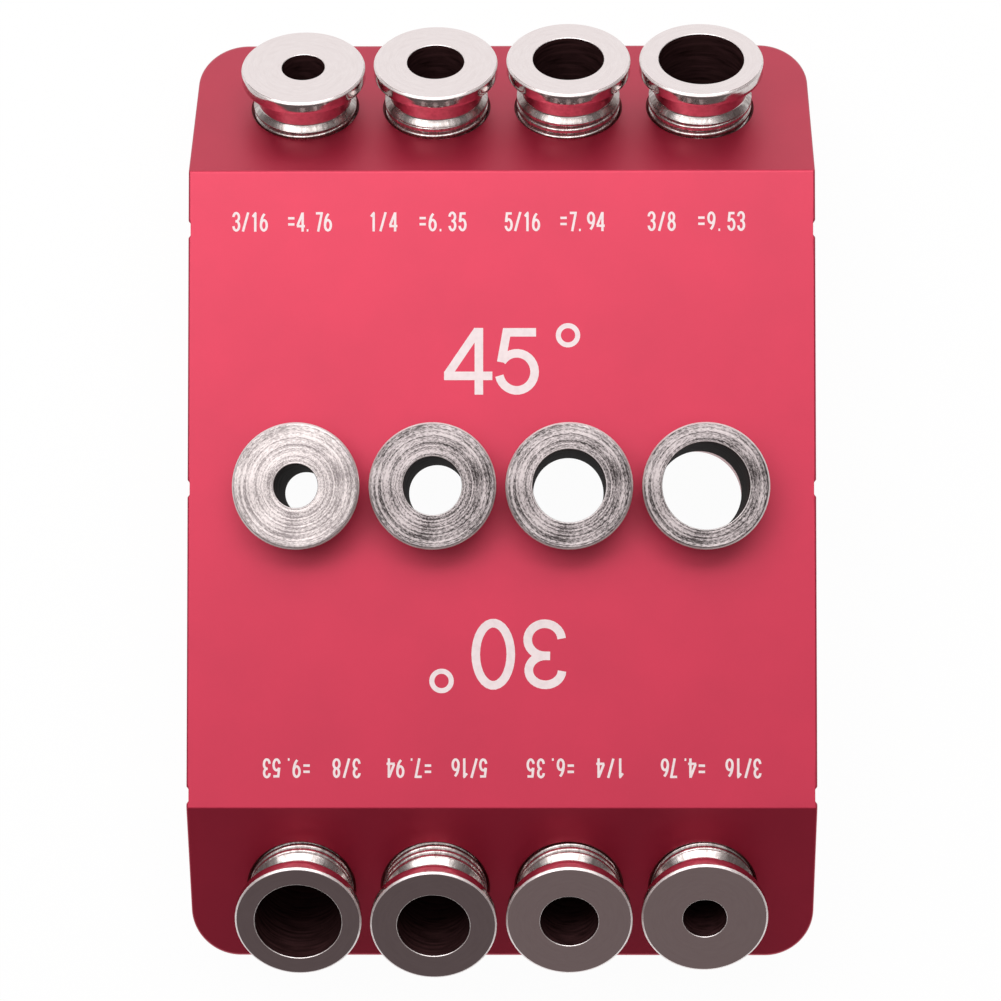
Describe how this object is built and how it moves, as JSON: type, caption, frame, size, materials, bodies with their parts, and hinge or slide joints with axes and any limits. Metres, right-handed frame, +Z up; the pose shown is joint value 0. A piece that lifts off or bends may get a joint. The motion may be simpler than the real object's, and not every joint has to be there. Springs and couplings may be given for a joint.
{
  "type": "angle drill guide block",
  "caption": "Metal drill guide block with a flat top, a steep and a shallow sloping end, and rows of flanged screw-in drill bushes for straight and angled holes.",
  "frame": {"origin": "on the base face, midway between the middle two bushes of the straight row", "axes": "+X along the rows, towards the straight row's largest bore; +Y towards the steep end; +Z up, out of the flat top"},
  "size_m": [0.07, 0.1078, 0.0298],
  "materials": {
    "red_anodised_block": "satin red anodised",
    "hard_steel_bush": "turned and polished hardened steel"
  },
  "bodies": {
    "guide_block": {"guide_block": "red_anodised_block"},
    "straight_bush_3_16": {"straight_bush_3_16": "hard_steel_bush"},
    "straight_bush_1_4": {"straight_bush_1_4": "hard_steel_bush"},
    "straight_bush_5_16": {"straight_bush_5_16": "hard_steel_bush"},
    "straight_bush_3_8": {"straight_bush_3_8": "hard_steel_bush"},
    "steep_bush_3_16": {"steep_bush_3_16": "hard_steel_bush"},
    "steep_bush_1_4": {"steep_bush_1_4": "hard_steel_bush"},
    "steep_bush_5_16": {"steep_bush_5_16": "hard_steel_bush"},
    "steep_bush_3_8": {"steep_bush_3_8": "hard_steel_bush"},
    "shallow_bush_3_8": {"shallow_bush_3_8": "hard_steel_bush"},
    "shallow_bush_5_16": {"shallow_bush_5_16": "hard_steel_bush"},
    "shallow_bush_1_4": {"shallow_bush_1_4": "hard_steel_bush"},
    "shallow_bush_3_16": {"shallow_bush_3_16": "hard_steel_bush"}
  },
  "joints": [
    {"name": "straight_bush_3_16_unscrews", "type": "slide", "parent": "guide_block", "child": "straight_bush_3_16", "axis": [0, 0, 1], "range_m": [0, 0.012]},
    {"name": "straight_bush_1_4_unscrews", "type": "slide", "parent": "guide_block", "child": "straight_bush_1_4", "axis": [0, 0, 1], "range_m": [0, 0.012]},
    {"name": "straight_bush_5_16_unscrews", "type": "slide", "parent": "guide_block", "child": "straight_bush_5_16", "axis": [0, 0, 1], "range_m": [0, 0.012]},
    {"name": "straight_bush_3_8_unscrews", "type": "slide", "parent": "guide_block", "child": "straight_bush_3_8", "axis": [0, 0, 1], "range_m": [0, 0.012]},
    {"name": "steep_bush_3_16_unscrews", "type": "slide", "parent": "guide_block", "child": "steep_bush_3_16", "axis": [0, 0.7071, 0.7071], "range_m": [0, 0.0127]},
    {"name": "steep_bush_1_4_unscrews", "type": "slide", "parent": "guide_block", "child": "steep_bush_1_4", "axis": [0, 0.7071, 0.7071], "range_m": [0, 0.012]},
    {"name": "steep_bush_5_16_unscrews", "type": "slide", "parent": "guide_block", "child": "steep_bush_5_16", "axis": [0, 0.7071, 0.7071], "range_m": [0, 0.0116]},
    {"name": "steep_bush_3_8_unscrews", "type": "slide", "parent": "guide_block", "child": "steep_bush_3_8", "axis": [0, 0.7071, 0.7071], "range_m": [0, 0.0128]},
    {"name": "shallow_bush_3_8_unscrews", "type": "slide", "parent": "guide_block", "child": "shallow_bush_3_8", "axis": [0, -0.5, 0.866], "range_m": [0, 0.0115]},
    {"name": "shallow_bush_5_16_unscrews", "type": "slide", "parent": "guide_block", "child": "shallow_bush_5_16", "axis": [0, -0.5, 0.866], "range_m": [0, 0.0107]},
    {"name": "shallow_bush_1_4_unscrews", "type": "slide", "parent": "guide_block", "child": "shallow_bush_1_4", "axis": [0, -0.5, 0.866], "range_m": [0, 0.0116]},
    {"name": "shallow_bush_3_16_unscrews", "type": "slide", "parent": "guide_block", "child": "shallow_bush_3_16", "axis": [0, -0.5, 0.866], "range_m": [0, 0.0122]}
  ]
}
